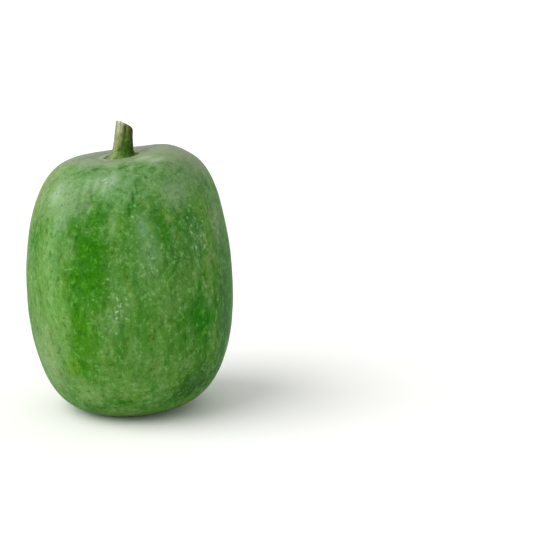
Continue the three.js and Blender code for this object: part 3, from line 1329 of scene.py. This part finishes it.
    def _grow(self, point: Vector, fruit: Fruit) -> Vector:
        """Moves a point of the turned stub to where it is on the grown stalk.

        Args:
            point: the point, with its height as a share of the stalk's.
            fruit: the fruit that the foot stands on.

        Returns:
            Its place, counted from the seat.
        """
        share = point.z
        bearing = math.atan2(point.y, point.x)
        wander = self.rib_wander * noise.noise(point * self.rib_noise)
        ribs = math.cos(self.rib_count * bearing + wander) * self.rib_height
        round_about = Vector((math.cos(bearing), math.sin(bearing), share * self.noise_rise))
        lumps = noise.noise(round_about * self.lump_noise) * self.lump_height
        knobs = noise.noise(round_about * self.knob_noise) * self.knob_height
        edge = 1 + self.edge_height * self._ridge(bearing, share) + ribs + lumps + knobs
        x, y = point.x * edge, point.y * edge
        across = x * math.cos(self.cut_bearing) + y * math.sin(self.cut_bearing)
        sink = fruit.hollow_depth * (1 - bell(math.hypot(x, y), fruit.hollow_width))
        middle = fruit.stalk_from_axis
        floor = sink + fruit.crown_lift(middle + x, y) - fruit.crown_lift(middle, 0)
        z = share * self.height + (1 - share) * floor - share**2 * self.cut_fall * across
        return Vector((x + self.aside + self.lean * share * self.height, y, z))


@dataclass
class Hairs:
    """The short hairs that lie on the skin.

    Lengths are in metres.

    Attributes:
        count: how many are sown over the whole skin.
        shortest, longest: the range of their lengths.
        thickness: how thick one is at its root.
        flattest, steepest: the range of the angles that they make with the skin, in degrees.
        bare_below: the height over the table below which they have rubbed off.
        scatter: how far from the middle of its face a root may be, as a share of the way to a corner.
        seed: what the chance starts from.
    """

    count: int = 9000
    shortest: float = 0.0009
    longest: float = 0.0018
    thickness: float = 0.00012
    flattest: float = 3
    steepest: float = 12
    bare_below: float = 0.012
    scatter: float = 0.9
    seed: int = 11

    def build(self, skin: bmesh.types.BMesh) -> bmesh.types.BMesh:
        """Grows hairs on a skin.

        Args:
            skin: the fruit's skin, which isn't changed.

        Returns:
            All the hairs, each of them a closed spike of four faces.
        """
        chance = random.Random(self.seed)
        spike = self._spike()
        shape = [value for vertex in spike.vertices for value in vertex.co]
        # A bmesh hands its faces out in no fixed order, and the seeded chance needs one.
        faces = sorted(skin.faces, key=lambda face: face.calc_center_median().to_tuple(7))
        areas = [face.calc_area() for face in faces]
        work = bmesh.new()
        for face in chance.choices(faces, areas, k=self.count):
            root = face.calc_center_median()
            if root.z < self.bare_below:
                continue
            corner = face.verts[0].co - root
            root += corner * chance.uniform(-self.scatter, self.scatter)
            spike.vertices.foreach_set("co", shape)
            spike.transform(self._place(chance, root, face.normal))
            work.from_mesh(spike, face_normals=False, vertex_normals=False)
        bpy.data.meshes.remove(spike)
        return work

    def dress(self, work: bmesh.types.BMesh) -> bpy.types.Object:
        """Gives the hairs their finish."""
        return finish_piece("skin_hairs", work, HairFinish().make())

    def _spike(self) -> bpy.types.Mesh:
        """Makes one hair that stands on the origin.

        Returns:
            A spike of length 1 and radius 1.
        """
        work = bmesh.new()
        cone = {"segments": 3, "radius1": 1.0, "radius2": 0.0, "depth": 1.0}
        bmesh.ops.create_cone(work, cap_ends=True, **cone)
        bmesh.ops.translate(work, verts=work.verts, vec=(0, 0, 0.5))
        bmesh.ops.remove_doubles(work, verts=work.verts, dist=1e-4)
        mesh = bpy.data.meshes.new("spike")
        work.to_mesh(mesh)
        work.free()
        return mesh

    def _place(self, chance: random.Random, root: Vector, normal: Vector) -> Matrix:
        """Gives where one hair goes, how long it is and which way it lies.

        Args:
            chance: the source of its length and direction.
            root: its place on the skin.
            normal: the skin's normal there.

        Returns:
            What moves the spike there.
        """
        side = normal.orthogonal().normalized()
        side.rotate(Quaternion(normal, chance.uniform(0, FULL_TURN)))
        lift = math.radians(chance.uniform(self.flattest, self.steepest))
        lie = side * math.cos(lift) + normal * math.sin(lift)
        length = chance.uniform(self.shortest, self.longest)
        turn = lie.to_track_quat("Z", "Y").to_matrix().to_4x4()
        size = Matrix.Diagonal((self.thickness / 2, self.thickness / 2, length, 1))
        return Matrix.Translation(root - normal * self.thickness) @ turn @ size


# ---------------------------------------------------------------------------------------------------------
# The studio
# ---------------------------------------------------------------------------------------------------------


@dataclass(frozen=True)
class Studio:
    """A pale floor, soft light from the upper left, and the camera.

    Attributes:
        floor_size: side of the floor, in metres.
        floor_tint, floor_roughness: its finish.
        camera_pitch: how far the camera looks down, in degrees.
        camera_distance: from the camera to the fruit's widest level, along its line of sight, in metres.
        aside: how far the camera's line of sight passes to the right of the fruit, in metres.
        above: how far it passes above it, in metres.
        lens: the camera's focal length, in millimetres.
        sensor: the width of its sensor, in millimetres.
        horizon, sky: the strength of the even light from the horizon and from high up.
        key: the strength of the broad light at the upper left.
        key_angle: how broad it is, in degrees.
        key_direction: the way that it shines.
        sky_tint, key_tint: the colours of the two lights.
    """

    floor_size: float = 60.0
    floor_tint: Colour = (0.93, 0.93, 0.93, 1)
    floor_roughness: float = 0.9
    camera_pitch: float = 12.0
    camera_distance: float = 0.854
    aside: float = 0.0881
    above: float = 0.01175
    lens: float = 90.0
    sensor: float = 36.0
    horizon: float = 1.0
    sky: float = 0.68
    key: float = 2.4
    key_angle: float = 62.0
    key_direction: tuple[float, float, float] = (0.66, 0.3, -0.69)
    sky_tint: Colour = (1.0, 1.0, 0.98, 1)
    key_tint: tuple[float, float, float] = (1.0, 0.985, 0.96)

    def build(self, target: Vector) -> None:
        """Sets the studio up round the fruit.

        Args:
            target: the middle of the fruit's widest level.
        """
        self._floor()
        self._lights()
        self._camera(target)

    def _floor(self) -> None:
        """Lays the floor."""
        work = bmesh.new()
        bmesh.ops.create_grid(work, x_segments=1, y_segments=1, size=self.floor_size / 2)
        mesh = bpy.data.meshes.new("floor")
        work.to_mesh(mesh)
        work.free()
        bench = Bench("floor_paper")
        bench.shader.inputs["Base Color"].default_value = self.floor_tint
        bench.shader.inputs["Roughness"].default_value = self.floor_roughness
        mesh.materials.append(bench.material)
        floor = bpy.data.objects.new("floor", mesh)
        bpy.context.scene.collection.objects.link(floor)

    def _lights(self) -> None:
        """Hangs one broad light at the upper left, under an even sky."""
        world = bpy.data.worlds.new("sky")
        world.use_nodes = True
        nodes, links = world.node_tree.nodes, world.node_tree.links
        place = nodes.new("ShaderNodeTexCoord")
        height = nodes.new("ShaderNodeSeparateXYZ")
        links.new(place.outputs["Generated"], height.inputs[0])
        dimming = nodes.new("ShaderNodeMapRange")
        levels = {"From Min": 0.0, "From Max": 0.5, "To Min": self.horizon, "To Max": self.sky}
        for name, value in levels.items():
            dimming.inputs[name].default_value = value
        links.new(height.outputs["Z"], dimming.inputs["Value"])
        backdrop = nodes["Background"]
        backdrop.inputs["Color"].default_value = self.sky_tint
        links.new(dimming.outputs[0], backdrop.inputs["Strength"])
        bpy.context.scene.world = world
        lamp = bpy.data.lights.new("key", "SUN")
        lamp.energy = self.key
        lamp.angle = math.radians(self.key_angle)
        lamp.color = self.key_tint
        key = bpy.data.objects.new("key", lamp)
        key.rotation_euler = Vector(self.key_direction).to_track_quat("-Z", "Y").to_euler()
        bpy.context.scene.collection.objects.link(key)

    def _camera(self, target: Vector) -> None:
        """Places the camera.

        Args:
            target: the middle of the fruit's widest level.
        """
        pitch = math.radians(self.camera_pitch)
        forward = Vector((0, math.cos(pitch), -math.sin(pitch)))
        upward = Vector((0, math.sin(pitch), math.cos(pitch)))
        sight = bpy.data.cameras.new("camera")
        sight.lens = self.lens
        sight.sensor_width = self.sensor
        camera = bpy.data.objects.new("camera", sight)
        camera.location = target - forward * self.camera_distance + upward * self.above
        camera.location.x += self.aside
        camera.rotation_euler = Euler((math.pi / 2 - pitch, 0, 0))
        bpy.context.scene.collection.objects.link(camera)
        bpy.context.scene.camera = camera
        bpy.context.scene.view_settings.view_transform = "Standard"


def main() -> None:
    """Builds the gourd, then the studio round it."""
    fruit = Fruit()
    fruit_work = fruit.build()
    stalk = Stalk()
    stalk_work = stalk.build(fruit)
    hairs = Hairs()
    hairs_work = hairs.build(fruit_work)
    fruit.dress(fruit_work)
    stalk.dress(stalk_work)
    hairs.dress(hairs_work)
    Studio().build(fruit.offset)


if __name__ == "__main__":
    logging.basicConfig(level=logging.INFO, format="%(message)s")
    main()
